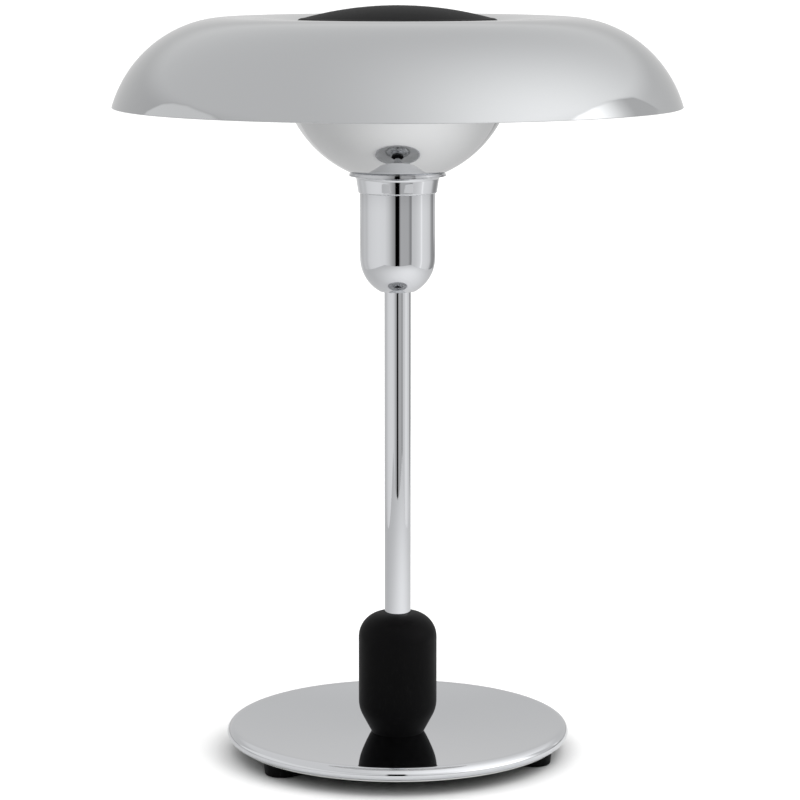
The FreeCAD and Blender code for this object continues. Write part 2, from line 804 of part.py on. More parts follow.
def make_cap():
    """Black domed cap with its stud."""
    apex = shade_flat + s.cap_rise
    edge = s.cap_radius - s.cap_edge_round
    dome = (edge * edge + s.cap_dome_rise * s.cap_dome_rise) / (s.cap_dome_rise * 2)
    inner_dome = dome - s.cap_wall
    inner_edge = s.cap_radius - s.cap_edge_width
    turned("cap", [
        (ZERO, apex - s.cap_rise + s.stud_rise),
        (s.stud_radius, apex - s.cap_rise + s.stud_rise),
        (s.stud_radius, shade_flat),
        (s.cap_boss_radius, shade_flat),
        (s.cap_boss_radius, apex - dome + leg(inner_dome, s.cap_boss_radius), RIGHT, inner_dome),
        (inner_edge, apex - dome + leg(inner_dome, inner_edge)),
        (inner_edge, shade_flat),
        (s.cap_radius - s.cap_heel_round, shade_flat, LEFT, s.cap_heel_round),
        (s.cap_radius, shade_flat + s.cap_heel_round, LEFT, s.cap_edge_round),
        (edge, apex - dome + leg(dome, edge), LEFT, dome),
        (ZERO, apex),
    ])
    turned("cap_stud", [
        (ZERO, gasket_top - s.boss_drop),
        (s.stud_radius, gasket_top - s.boss_drop),
        (s.stud_radius, shade_flat + s.stud_rise),
        (ZERO, shade_flat + s.stud_rise),
    ])


def make_bulb():
    """Globe bulb: glass, screw cap, insulator and centre contact."""
    low = stem_top + s.cup_wall + s.holder_lift + s.holder_cap_height
    low = low + s.insert_lift + s.insert_height + s.contact_rise
    centre = low + s.bulb_centre_rise
    radius = s.bulb_radius
    wall = s.bulb_wall
    join = s.bulb_neck_join
    inner_join = join * (radius - wall) / radius
    join_drop = leg(radius, join)
    neck = low + s.bulb_neck_rise
    cap_low = low + s.bulb_cap_rise
    cap_top = cap_low + s.bulb_cap_height
    inner_neck = s.bulb_neck_radius - wall
    turned("bulb_glass", [
        (inner_neck, cap_top - s.bulb_neck_insert),
        (s.bulb_neck_radius, cap_top - s.bulb_neck_insert),
        (s.bulb_neck_radius, neck, RIGHT, s.bulb_neck_round),
        (join, centre - join_drop, LEFT, radius),
        (radius, centre, LEFT, radius),
        (ZERO, centre + radius),
        (ZERO, centre + radius - wall, RIGHT, radius - wall),
        (radius - wall, centre, RIGHT, radius - wall),
        (inner_join, centre - join_drop * (radius - wall) / radius, LEFT, s.bulb_neck_round + wall),
        (inner_neck, neck),
    ])
    turned("bulb_cap", tube(cap_low, cap_top, s.bulb_neck_radius, s.bulb_cap_radius))
    contact_top = low + s.bulb_contact_height
    turned("bulb_insulator", [
        (ZERO, contact_top),
        (s.bulb_contact_radius, contact_top),
        (s.bulb_neck_radius, cap_low),
        (s.bulb_neck_radius, cap_low + s.bulb_insulator_overlap),
        (ZERO, cap_low + s.bulb_insulator_overlap),
    ])
    turned("bulb_contact", [
        (ZERO, low),
        (s.bulb_contact_radius, low),
        (s.bulb_contact_radius, contact_top),
        (ZERO, contact_top),
    ])


def check_model():
    """Every feature worked and every sub-part is a sound solid."""
    doc.recompute()
    for item in doc.Objects:
        if "Invalid" in item.State or "Error" in item.State:
            raise RuntimeError(f"{item.Name}: {item.State}")
    for label, item in pieces.items():
        shape = item.Shape
        if shape.isNull() or not shape.isValid() or not shape.Solids:
            raise RuntimeError(f"{label}: no sound solid")


def write_parts():
    """One file for each sub-part, named by its label."""
    os.makedirs("parts", exist_ok=True)
    for label, item in pieces.items():
        item.Shape.exportStep(f"parts/{label}.step")
        box = item.Shape.optimalBoundingBox()
        print(f"{label}: {len(item.Shape.Solids)} solid(s), {item.Shape.Volume:.1f} mm3, "
              f"z {box.ZMin:.2f} to {box.ZMax:.2f}, width {box.XLength:.2f}")


make_base()
make_feet()
make_base_fixing()
make_stem()
make_cup()
make_collar()
make_lampholder()
make_bowl()
make_carrier()
make_shade()
make_cap()
make_bulb()
check_model()
write_parts()
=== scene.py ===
import math

import bmesh
import bpy
from bpy.props import FloatProperty, FloatVectorProperty, IntProperty, PointerProperty
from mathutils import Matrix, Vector


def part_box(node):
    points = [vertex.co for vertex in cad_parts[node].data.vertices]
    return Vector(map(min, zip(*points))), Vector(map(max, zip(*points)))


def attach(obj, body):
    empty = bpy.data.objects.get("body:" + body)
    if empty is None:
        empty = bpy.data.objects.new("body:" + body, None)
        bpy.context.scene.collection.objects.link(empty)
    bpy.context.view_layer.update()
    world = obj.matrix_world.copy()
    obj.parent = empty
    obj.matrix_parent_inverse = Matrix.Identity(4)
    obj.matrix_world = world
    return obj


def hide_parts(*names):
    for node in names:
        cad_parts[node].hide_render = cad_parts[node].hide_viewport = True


bl_info = {
    "name": "Desk lamp dressing",
    "version": (1, 0, 0),
    "blender": (4, 5, 0),
    "location": "3D View > Sidebar > Lamp",
    "description": "Turned metal, rubber and glass pieces for a packed desk lamp, and its studio",
    "category": "Object",
}

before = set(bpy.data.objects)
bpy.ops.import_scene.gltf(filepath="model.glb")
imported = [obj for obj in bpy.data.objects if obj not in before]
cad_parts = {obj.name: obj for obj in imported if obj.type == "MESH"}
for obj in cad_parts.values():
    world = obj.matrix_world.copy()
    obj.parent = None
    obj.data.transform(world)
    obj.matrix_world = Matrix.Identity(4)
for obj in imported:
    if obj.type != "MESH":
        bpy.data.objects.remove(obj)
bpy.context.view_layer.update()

LEFT = 1
RIGHT = -1
MERGE = 1e-6
LONGEST_RUN = 24
LEAST_ARC = 4
ARC_STEP = math.radians(9)
FACET_BASE = 0.003
FACET_SHADE = 0.002
FACET_BOWL = 0.0015
FACET_CUP = 0.0012
FACET_COLLAR = 0.0008
BASE_CREASE = 20
FLOOR_REACH = 40.0


def reach(node):
    """How far a CAD node reaches from the lamp's axis."""
    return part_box(node)[1].x


def top(node):
    """The highest level of a CAD node."""
    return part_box(node)[1].z


def bottom(node):
    """The lowest level of a CAD node."""
    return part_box(node)[0].z


def leg(long_side, other_leg):
    """The third side of a right-angled triangle."""
    return math.sqrt(long_side ** 2 - other_leg ** 2)


def size(name, description, metres):
    """A length that a user may change."""
    return FloatProperty(name=name, description=description, default=metres, min=0.0, precision=5,
                         unit="LENGTH", subtype="DISTANCE")


def amount(name, description, number):
    """A plain number that a user may change."""
    return FloatProperty(name=name, description=description, default=number, min=0.0)


def slant(name, description, degrees):
    """An angle that a user may change."""
    return FloatProperty(name=name, description=description, default=math.radians(degrees), unit="ROTATION",
                         subtype="ANGLE")


def spot(name, description, metres):
    """A place to either side that a user may change."""
    return FloatProperty(name=name, description=description, default=metres, unit="LENGTH",
                         subtype="DISTANCE")


def tint(name, description, red, green, blue):
    """A colour that a user may change."""
    return FloatVectorProperty(name=name, description=description, default=(red, green, blue), size=3,
                               min=0.0, max=1.0, subtype="COLOR")


def count(name, description, number):
    """How many facets a turned piece has round the axis."""
    return IntProperty(name=name, description=description, default=number, min=24, max=512)


class ShadeSizes(bpy.types.PropertyGroup):
    """The spun shade and its cap."""
    radius: size("Rim radius", "Reach of the shade's rim", reach("shade"))
    wall: size("Sheet", "Thickness of the spun sheet", 0.0012)
    seat: size("Cap seat", "Radius of the flat that the cap stands on", reach("cap") + 0.0007)
    dip: size("Dip", "Drop from the crown to the cap's seat", 0.0029)
    dip_round: size("Dip round", "Radius of the curve down to the cap", 0.2202)
    flank_round: size("Flank round", "Radius of the steep flank", 0.06455)
    shoulder_round: size("Shoulder round", "Radius of the flat shoulder", 0.0604)
    slope: slant("Shoulder slope", "Fall of the sheet where shoulder and flank meet", 22.1)
    hole: size("Hole", "Radius of the hole under the cap", 0.004)
    edge: size("Rim round", "Radius of the rolled rim edge", 0.00075)
    cap_radius: size("Cap radius", "Reach of the cap", reach("cap"))
    cap_rise: size("Cap rise", "Height of the cap over its seat", top("cap") - bottom("cap"))
    cap_dome: size("Cap dome", "Rise of the cap's dome", 0.00675)
    cap_edge: size("Cap edge", "Radius of the cap's edge", 0.0028)


class HeadSizes(bpy.types.PropertyGroup):
    """The bowl, the collar and the cup."""
    bowl_mouth: size("Bowl mouth", "Radius of the bowl's mouth", reach("bowl"))
    bowl_draw: size("Bowl draw", "How much the mouth is narrower than the full sphere", 0.0037)
    bowl_seat: size("Bowl seat", "Radius of the bowl's flat floor", 0.023)
    bowl_wall: size("Bowl sheet", "Thickness of the bowl", 0.0012)
    collar_lip: size("Collar lip", "Reach of the collar's lip", reach("collar"))
    lip_ledge: size("Lip ledge", "How far the collar's lip stands out beyond the bowl's seat", 0.0006)
    cup_radius: size("Cup radius", "Reach of the cup", reach("cup"))
    cup_round: size("Cup round", "Radius of the cup's rounded bottom", 0.0205)
    cup_floor: size("Cup floor", "Radius of the flat under the cup", 0.0096)
    cup_wall: size("Cup wall", "Thickness of the cup", 0.001)


class StandSizes(bpy.types.PropertyGroup):
    """The stem, the grip, the base and the feet."""
    stem_radius: size("Stem radius", "Reach of the stem tube", reach("stem"))
    grip_radius: size("Grip radius", "Reach of the grip", reach("grip"))
    grip_foot: size("Grip foot", "Radius of the grip where it meets the base", 0.014)
    grip_taper: slant("Grip taper", "Half the angle of the grip's lower cone", 28.0)
    grip_low_round: size("Grip lower round", "Radius of the grip's lower curve", 0.017)
    grip_shoulder: size("Grip shoulder", "Radius of the grip's shoulder", 0.0134)
    base_radius: size("Base radius", "Reach of the base", reach("base_cover"))
    base_seat: size("Base seat", "Radius of the flat under the grip", 0.015)
    rim_top_round: size("Rim upper round", "Radius of the rim's upper curve", 0.0039)
    rim_low_round: size("Rim lower round", "Radius of the rim's lower curve", 0.0026)
    dish_round: size("Dish round", "Radius of the base's hollowed top", 1.4)
    base_wall: size("Base sheet", "Thickness of the base cover", 0.0015)
    foot_top: size("Foot top", "Radius of a foot's top", 0.0095)
    foot_low: size("Foot bottom", "Radius of a foot near the floor", 0.0088)
    foot_round: size("Foot round", "Radius of a foot's lower edge", 0.0012)


class BulbSizes(bpy.types.PropertyGroup):
    """The globe bulb."""
    radius: size("Globe radius", "Radius of the glass globe", reach("bulb_glass"))
    neck: size("Neck radius", "Radius of the neck", 0.0063)
    join: size("Join radius", "Radius where the neck's curve meets the globe", 0.012)
    neck_round: size("Neck round", "Radius of the curve from the neck to the globe", 0.012)
    neck_rise: size("Neck rise", "Height of the straight neck's end over the bulb's contact", 0.024)


class Finishes(bpy.types.PropertyGroup):
    """Colours of the materials, and the facets of turned pieces."""
    chrome: tint("Chrome", "Chrome plate", 0.612, 0.621, 0.64)
    shade: tint("Shade", "Polished sheet of the shade", 0.488, 0.496, 0.504)
    bowl: tint("Bowl", "Polished sheet of the bowl", 0.60, 0.605, 0.61)
    cap: tint("Cap", "Satin black of the cap", 0.002, 0.002, 0.0023)
    rubber: tint("Rubber", "Rubber of the grip and feet", 0.0022, 0.0022, 0.0024)
    glass: tint("Opal glass", "Glass of the bulb", 0.86, 0.85, 0.81)
    eased: size("Eased edge", "Radius of the edges of the pressed, turned and moulded pieces", 0.0004)
    mirror_facets: count("Mirror facets", "Facets round a polished piece", 256)
    facets: count("Facets", "Facets round a dull piece", 160)
    bulb_facets: count("Bulb facets", "Facets round the bulb", 128)
    foot_facets: count("Foot facets", "Facets round a foot", 64)


class Studio(bpy.types.PropertyGroup):
    """The camera and the light."""
    distance: size("Camera distance", "Camera's distance in front of the axis", 1.4965)
    height: size("Camera height", "Camera's height over the floor", 0.42953)
    offset: size("Camera offset", "Camera's place to the right of the axis", 0.00125)
    tilt: slant("Tilt", "How far the camera looks down", 9.053)
    lens: amount("Lens", "Focal length in millimetres", 128.25)
    dome: size("Dome radius", "Radius of the reflected dome", 4.0)
    floor_seen: amount("Floor seen", "Tone of the floor as the camera sees it", 1.16)
    contact: amount("Contact shadow", "How much darker the floor is close to the lamp", 0.40)
    contact_reach: size("Contact reach", "How far the contact shadow reaches", 0.40)
    floor_mirrored: amount("Floor mirrored", "Tone of the far floor in mirrors", 0.62)
    pool_tone: amount("Pool", "How much lighter the floor is in the pool of light", 0.42)
    pool_reach: size("Pool reach", "How far the pool of light spreads", 0.30)
    pool_x: spot("Pool to the right", "Place of the pool of light", 0.15)
    pool_y: spot("Pool to the back", "Place of the pool of light", -0.20)
    table: size("Table reach", "How far the reflected table reaches to the sides", 0.60)
    table_front: size("Table front", "How far the reflected table reaches to the front", 0.72)
    table_back: size("Table back", "How far the reflected table reaches to the back", 0.90)
    sky_tone: amount("Sky", "Tone of the soft light above the panels in mirrors", 0.71)
    sky_lift: amount("Sky lift", "How many times lighter the high part of the sky is", 1.26)
    glow_tone: amount("Glow", "How much lighter the sky is in the middle of its glow", 0.62)
    glow_power: amount("Glow focus", "How fast the glow falls off round its middle", 2.2)
    glow_side: slant("Glow side", "Bearing of the glow, from the front to the right", 65.0)
    glow_height: slant("Glow height", "How high the glow stands", 22.0)
    horizon_tone: amount("Horizon", "Tone of the thin darker line at the horizon", 0.72)
    ground_light: amount("Ground light", "Strength of the world on matt surfaces from straight below", 0.45)
    zenith_light: amount("Zenith light", "Strength of the world on matt surfaces from straight above", 1.27)
    lamp_energy: amount("Lamp energy", "Power of the broad lamp in watts", 14.0)
    lamp_size: size("Lamp size", "Side of the broad lamp", 1.6)


class LampSettings(bpy.types.PropertyGroup):
    """All settings of the desk lamp."""
    shade: PointerProperty(type=ShadeSizes)
    head: PointerProperty(type=HeadSizes)
    stand: PointerProperty(type=StandSizes)
    bulb: PointerProperty(type=BulbSizes)
    finishes: PointerProperty(type=Finishes)
    studio: PointerProperty(type=Studio)


def settings():
    """The lamp's settings in this scene."""
    return bpy.context.scene.desk_lamp


def run_profile(mesh, corners, facet):
    """Draw a profile through its corners: a straight run is extruded, an arc is spun about its centre."""
    tip = mesh.verts.new((corners[0][0], 0, corners[0][1]))
    open_ended = corners[0][0] == 0 and corners[-1][0] == 0
    following = corners[1:] if open_ended else corners[1:] + corners[:1]
    for corner, target in zip(corners, following):
        start = Vector((corner[0], 0, corner[1]))
        end = Vector((target[0], 0, target[1]))
        chord = end - start
        if len(corner) == 2:
            parts = min(LONGEST_RUN, max(1, round(chord.length / facet)))
            for _ in range(parts):
                tip = bmesh.ops.extrude_vert_indiv(mesh, verts=[tip])["verts"][0]
                bmesh.ops.translate(mesh, verts=[tip], vec=chord / parts)
            continue
        turn, bend = corner[2:]
        side = Vector((-chord.z, 0, chord.x)).normalized() * turn
        centre = (start + end) / 2 + side * math.sqrt(max(bend ** 2 - (chord.length / 2) ** 2, 0))
        swing = 2 * math.asin(min(1, chord.length / 2 / bend))
        parts = max(LEAST_ARC, math.ceil(swing * bend / facet), math.ceil(swing / ARC_STEP))
        made = bmesh.ops.spin(mesh, geom=[tip], cent=centre, axis=(0, -turn, 0), angle=swing, steps=parts)
        tip = [item for item in made["geom_last"] if isinstance(item, bmesh.types.BMVert)][0]
    bmesh.ops.remove_doubles(mesh, verts=mesh.verts[:], dist=MERGE)


def turn_profile(corners, facet, facets_round):
    """A piece turned about the lamp's axis."""
    mesh = bmesh.new()
    run_profile(mesh, corners, facet)
    bmesh.ops.spin(mesh, geom=mesh.verts[:] + mesh.edges[:], cent=(0, 0, 0), axis=(0, 0, 1),
                   angle=math.tau, steps=facets_round, use_merge=True)
    bmesh.ops.remove_doubles(mesh, verts=mesh.verts[:], dist=MERGE)
    bmesh.ops.recalc_face_normals(mesh, faces=mesh.faces[:])
    return mesh


def finish_piece(mesh, name, material, body, nodes, crease=30, second=None):
    """Turn a bmesh into a piece that rides on a body and stands for CAD nodes."""
    data = bpy.data.meshes.new(name)
    mesh.to_mesh(data)
    mesh.free()
    data.shade_smooth()
    data.set_sharp_from_angle(angle=math.radians(crease))
    data.materials.append(material)
    if second:
        data.materials.append(second)
    piece = bpy.data.objects.new(name, data)
    bpy.context.scene.collection.objects.link(piece)
    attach(piece, body)
    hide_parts(*nodes)
    return piece


def coat_node(names, material):
    """Give CAD nodes a material."""
    for name in names:
        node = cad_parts[name]
        if not node.material_slots:
            node.data.materials.append(material)
        for slot in node.material_slots:
            slot.material = material


class Nodes:
    """A material's node tree, with short ways to add and join nodes."""

    def __init__(self, material):
        material.use_nodes = True
        self.tree = material.node_tree
        self.tree.nodes.clear()
        self.output = self.add("ShaderNodeOutputMaterial")

    def add(self, kind, **values):
        node = self.tree.nodes.new(kind)
        for name, value in values.items():
            setattr(node, name, value)
        return node

    def join(self, source, target):
        self.tree.links.new(source, target)

    def feed(self, socket, value):
        """Set a socket to a number or colour, or join it to another node."""
        if isinstance(value, bpy.types.NodeSocket):
            self.join(value, socket)
        else:
            socket.default_value = value

    def maths(self, operation, *values):
        node = self.add("ShaderNodeMath", operation=operation)
        for index, value in enumerate(values):
            self.feed(node.inputs[index], value)
        return node.outputs[0]

    def spread(self, value, low, high, new_low, new_high, smooth=False):
        """Map a value from one range to another."""
        node = self.add("ShaderNodeMapRange", interpolation_type="SMOOTHSTEP" if smooth else "LINEAR")
        for index, item in enumerate((value, low, high, new_low, new_high)):
            self.feed(node.inputs[index], item)
        return node.outputs[0]

    def place(self):
        return self.add("ShaderNodeTexCoord").outputs["Object"]

    def parts(self, vector):
        node = self.add("ShaderNodeSeparateXYZ")
        self.join(vector, node.inputs[0])
        return node.outputs

    def square(self, value):
        return self.maths("MULTIPLY", value, value)

    def inner(self, vector, other):
        """Dot product of a vector socket with another vector."""
        node = self.add("ShaderNodeVectorMath", operation="DOT_PRODUCT")
        self.join(vector, node.inputs[0])
        self.feed(node.inputs[1], other)
        return node.outputs["Value"]

    def noise(self, scale, detail=2.0, one_way=None):
        """Noise over the piece, or along one value."""
        node = self.add("ShaderNodeTexNoise")
        if one_way is not None:
            node.noise_dimensions = "1D"
            self.join(one_way, node.inputs["W"])
        else:
            self.join(self.place(), node.inputs["Vector"])
        node.inputs["Scale"].default_value = scale
        node.inputs["Detail"].default_value = detail
        return node.outputs["Fac"]

    def ramp(self, value, stops):
        """A colour ramp with up to 32 stops of place and colour."""
        node = self.add("ShaderNodeValToRGB")
        self.join(value, node.inputs[0])
        elements = node.color_ramp.elements
        while len(elements) < len(stops):
            elements.new(1.0)
        for element, (position, colour) in zip(elements, stops):
            element.position = position
            element.color = (*colour, 1.0)
        return node.outputs["Color"]

    def blend(self, share, first, second, kind="MIX"):
        """Mix two colours."""
        node = self.add("ShaderNodeMix", data_type="RGBA", blend_type=kind)
        self.feed(node.inputs[0], share)
        for socket, value in ((node.inputs[6], first), (node.inputs[7], second)):
            if isinstance(value, bpy.types.NodeSocket):
                self.join(value, socket)
            else:
                socket.default_value = (*value, 1.0)
        return node.outputs[2]

    def edges(self, radius):
        """Rounded normals at the edges, and 1 on a sharp edge, 0 elsewhere."""
        eased = self.add("ShaderNodeBevel", samples=6)
        eased.inputs["Radius"].default_value = radius
        rounded = eased.outputs["Normal"]
        turned = self.inner(rounded, self.add("ShaderNodeNewGeometry").outputs["True Normal"])
        return rounded, self.spread(turned, 0.90, 0.99, 1.0, 0.0)

    def bump(self, height, distance, normal=None):
        """Relief of a given depth, on the piece's own normals or on others."""
        node = self.add("ShaderNodeBump")
        if normal:
            self.join(normal, node.inputs["Normal"])
        node.inputs["Distance"].default_value = distance
        self.join(height, node.inputs["Height"])
        return node.outputs["Normal"]

    def shader(self, **values):
        """The main shader, its sockets given by name with spaces as underscores."""
        node = self.add("ShaderNodeBsdfPrincipled")
        for name, value in values.items():
            socket = node.inputs[name.replace("_", " ")]
            if isinstance(value, tuple):
                value = (*value, 1.0)
            self.feed(socket, value)
        self.join(node.outputs[0], self.output.inputs["Surface"])
        return node


def make_material(name, build):
    """A material by name, made once."""
    found = bpy.data.materials.get(name)
    if found:
        return found
    material = bpy.data.materials.new(name)
    build(Nodes(material))
    return material


def from_axis(nodes):
    """Distance from the lamp's axis."""
    x, y, _ = nodes.parts(nodes.place())
    return nodes.maths("SQRT", nodes.maths("ADD", nodes.square(x), nodes.square(y)))


def scaled(colour, factor, shift=0.0):
    """A colour made lighter or darker."""
    return tuple(min(1, channel * factor + shift) for channel in colour)


def plated(colour, rough_low, rough_high, swirl=0.0):
    """Bright plate: soft clouds in its gloss, and faint turning marks where it is spun."""
    def build(nodes):
        clouds = nodes.noise(14.0, 4.0)
        gloss = nodes.spread(clouds, 0.3, 0.7, rough_low, rough_high)
        toned = nodes.blend(nodes.noise(5.0, 2.0), scaled(colour, 0.985), tuple(colour))
        values = {"Base_Color": toned, "Metallic": 1.0, "Roughness": gloss}
        if swirl:
            rings = nodes.noise(900.0, 3.0, one_way=from_axis(nodes))
            values["Normal"] = nodes.bump(rings, swirl)
        nodes.shader(**values)
    return build


def chrome():
    return make_material("mirror chrome", plated(settings().finishes.chrome, 0.012, 0.035))


def polished_shade():
    return make_material("polished shade", plated(settings().finishes.shade, 0.05, 0.075, 0.0000006))


def polished_bowl():
    return make_material("polished bowl", plated(settings().finishes.bowl, 0.02, 0.04))


def satin_black():
    """Satin black with a fine grain."""
    def build(nodes):
        colour = tuple(settings().finishes.cap)
        grain = nodes.noise(2600.0, 3.0)
        cloud = nodes.noise(40.0, 3.0)
        _, sharp_edge = nodes.edges(settings().finishes.eased)
        toned = nodes.blend(cloud, colour, scaled(colour, 1.3))
        # The colour is made 2.5 times lighter on sharp edges.
        nodes.shader(Base_Color=nodes.blend(sharp_edge, toned, scaled(colour, 2.5)),
                     Roughness=nodes.spread(grain, 0.3, 0.7, 0.40, 0.50), Specular_IOR_Level=0.02,
                     Normal=nodes.bump(grain, 0.00003))
    return make_material("satin black cap", build)


def black_rubber():
    """Smooth dense rubber with a soft bloom."""
    def build(nodes):
        colour = tuple(settings().finishes.rubber)
        grain = nodes.noise(1800.0, 2.0)
        bloom = nodes.noise(30.0, 4.0)
        nodes.shader(Base_Color=nodes.blend(bloom, colour, scaled(colour, 1.5)),
                     Roughness=nodes.spread(bloom, 0.3, 0.7, 0.42, 0.50),
                     Specular_IOR_Level=0.05,
                     Normal=nodes.bump(grain, 0.00002))
    return make_material("black rubber", build)


def opal_glass():
    """Opal glass, milky and bright."""
    def build(nodes):
        colour = tuple(settings().finishes.glass)
        milk = nodes.noise(60.0, 3.0)
        nodes.shader(Base_Color=nodes.blend(milk, scaled(colour, 0.97), colour),
                     Roughness=nodes.spread(milk, 0.3, 0.7, 0.12, 0.2),
                     Subsurface_Weight=0.3, Subsurface_Scale=0.004, Coat_Weight=0.5)
    return make_material("opal glass", build)


def plain_finish(name, colour, metal, rough, grain_scale, grain_depth, wander=0.12, thread=0.0):
    """A plain material with its own grain, slight change of tone, lighter sharp edges and, if wanted, a
    thread.
    """
    def build(nodes):
        grain = nodes.noise(grain_scale, 3.0)
        cloud = nodes.noise(grain_scale / 30, 4.0)
        eased, sharp_edge = nodes.edges(settings().finishes.eased)
        toned = nodes.blend(cloud, scaled(colour, 1 - wander), scaled(colour, 1 + wander))
        # The colour is made lighter on sharp edges.
        edge_lightened = nodes.blend(sharp_edge, toned, scaled(colour, 1.25, 0.02))
        normal = nodes.bump(grain, grain_depth, normal=eased)
        if thread:
            x, y, z = nodes.parts(nodes.place())
            turn = nodes.maths("MULTIPLY_ADD", z, math.tau / thread, nodes.maths("ARCTAN2", y, x))
            normal = nodes.bump(nodes.maths("SINE", turn), thread / 6, normal=normal)
        nodes.shader(Base_Color=edge_lightened, Metallic=metal,
                     Roughness=nodes.spread(cloud, 0.25, 0.75, rough * 0.85, rough * 1.15),
                     Normal=normal)
    return make_material(name, build)


ZINC = (0.55, 0.56, 0.55)
NICKEL = (0.60, 0.58, 0.55)
BRASS = (0.72, 0.50, 0.20)
BULB_PITCH = 0.0028
TUBE_PITCH = 0.001


def cast_iron():
    return plain_finish("cast iron", (0.10, 0.10, 0.105), 0.6, 0.7, 900.0, 0.0002, 0.3)


def zinc_steel():
    return plain_finish("zinc plated steel", ZINC, 1.0, 0.28, 1400.0, 0.00001)


def nickel_steel():
    return plain_finish("nickel plated steel", NICKEL, 1.0, 0.18, 1600.0, 0.000005)


def threaded_nickel():
    return plain_finish("threaded nickel", NICKEL, 1.0, 0.18, 1600.0, 0.000005, thread=BULB_PITCH)


def threaded_brass():
    return plain_finish("threaded brass", BRASS, 1.0, 0.2, 1500.0, 0.000005, thread=BULB_PITCH)


def threaded_zinc():
    return plain_finish("threaded zinc", ZINC, 1.0, 0.28, 1400.0, 0.00001, thread=TUBE_PITCH)


def bright_brass():
    return plain_finish("bright brass", BRASS, 1.0, 0.2, 1500.0, 0.000005)


def white_thermoset():
    return plain_finish("white thermoset", (0.78, 0.77, 0.72), 0.0, 0.3, 2200.0, 0.00001, 0.03)


def white_lacquer():
    return plain_finish("white lacquer", (0.84, 0.84, 0.83), 0.0, 0.35, 1200.0, 0.00002, 0.02)


def black_nylon():
    return plain_finish("black nylon", (0.02, 0.02, 0.021), 0.0, 0.4, 2000.0, 0.00002)


def silicone():
    return plain_finish("silicone", (0.62, 0.62, 0.60), 0.0, 0.5, 1800.0, 0.00001, 0.04)


def black_glass():
    return plain_finish("black glass", (0.01, 0.01, 0.012), 0.0, 0.08, 600.0, 0.000005)


class LAMP_OT_base(bpy.types.Operator):
    """Turn the dished base cover"""
    bl_idname = "desk_lamp.base"
    bl_label = "Base cover"

    def execute(self, context):
        s = settings().stand
        low = bottom("base_cover")
        wall = s.base_wall
        seat = low + wall
        rim = low + s.rim_low_round
        crest_radius = s.base_radius - s.rim_top_round
        low_radius = s.base_radius - s.rim_low_round
        lip_width = 0.0022
        lip = low_radius - lip_width
        bore = 0.0052
        corners = [
            (bore, seat), (bore, low), (s.base_seat, low, LEFT, s.dish_round + wall),
            (crest_radius, rim + s.rim_top_round - wall, RIGHT, s.rim_top_round - wall),
            (s.base_radius - wall, rim, RIGHT, s.rim_low_round - wall),
            (low_radius, low + wall), (lip, low + wall), (lip, low),
            (low_radius, low, LEFT, s.rim_low_round), (s.base_radius, rim, LEFT, s.rim_top_round),
            (crest_radius, rim + s.rim_top_round, RIGHT, s.dish_round), (s.base_seat, seat),
        ]
        mesh = turn_profile(corners, FACET_BASE, settings().finishes.mirror_facets)
        finish_piece(mesh, "base_cover_plated", chrome(), "stand", ["base_cover"], BASE_CREASE)
        return {"FINISHED"}


class LAMP_OT_feet(bpy.types.Operator):
    """Turn the three rubber feet"""
    bl_idname = "desk_lamp.feet"
    bl_label = "Feet"

    def execute(self, context):
        s = settings().stand
        hole = 0.0017
        recess = 0.0036
        floor = 0.0042
        for side in ("rear", "left", "right"):
            node = f"foot_{side}"
            low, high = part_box(node)
            corners = [
                (hole, floor), (recess, floor), (recess, 0.0),
                (s.foot_low - s.foot_round, 0.0, LEFT, s.foot_round), (s.foot_low, s.foot_round),
                (s.foot_top, high.z), (hole, high.z),
            ]
            mesh = turn_profile(corners, FACET_SHADE, settings().finishes.foot_facets)
            middle = (low + high) / 2
            bmesh.ops.translate(mesh, verts=mesh.verts[:], vec=(middle.x, middle.y, 0))
            finish_piece(mesh, f"{node}_rubber", black_rubber(), "stand", [node])
        return {"FINISHED"}


class LAMP_OT_stem(bpy.types.Operator):
    """Turn the stem tube and its grip"""
    bl_idname = "desk_lamp.stem"
    bl_label = "Stem and grip"

    def execute(self, context):
        s = settings().stand
        low = bottom("stem")
        high = top("stem")
        depth = 0.012
        end_bore = 0.005
        bore = 0.0045
        corners = [
            (end_bore, low), (s.stem_radius, low), (s.stem_radius, high), (end_bore, high),
            (end_bore, high - depth), (bore, high - depth), (bore, low + depth), (end_bore, low + depth),
        ]
        mesh = turn_profile(corners, FACET_BASE, settings().finishes.mirror_facets)
        finish_piece(mesh, "stem_plated", chrome(), "stand", ["stem"])
        grip_top = top("grip")
        across = math.sin(s.grip_taper)
        up = math.cos(s.grip_taper)
        cone_radius = s.grip_radius - s.grip_low_round * (1 - up)
        cone_top = low + (cone_radius - s.grip_foot) * up / across
        corners = [
            (s.stem_radius, low), (s.grip_foot, low), (cone_radius, cone_top, LEFT, s.grip_low_round),
            (s.grip_radius, cone_top + s.grip_low_round * across),
            (s.grip_radius, grip_top - s.grip_shoulder, LEFT, s.grip_shoulder),
            (s.grip_radius - s.grip_shoulder, grip_top), (s.stem_radius, grip_top),
        ]
        mesh = turn_profile(corners, FACET_BOWL, settings().finishes.facets)
        finish_piece(mesh, "grip_rubber", black_rubber(), "stand", ["grip"])
        return {"FINISHED"}


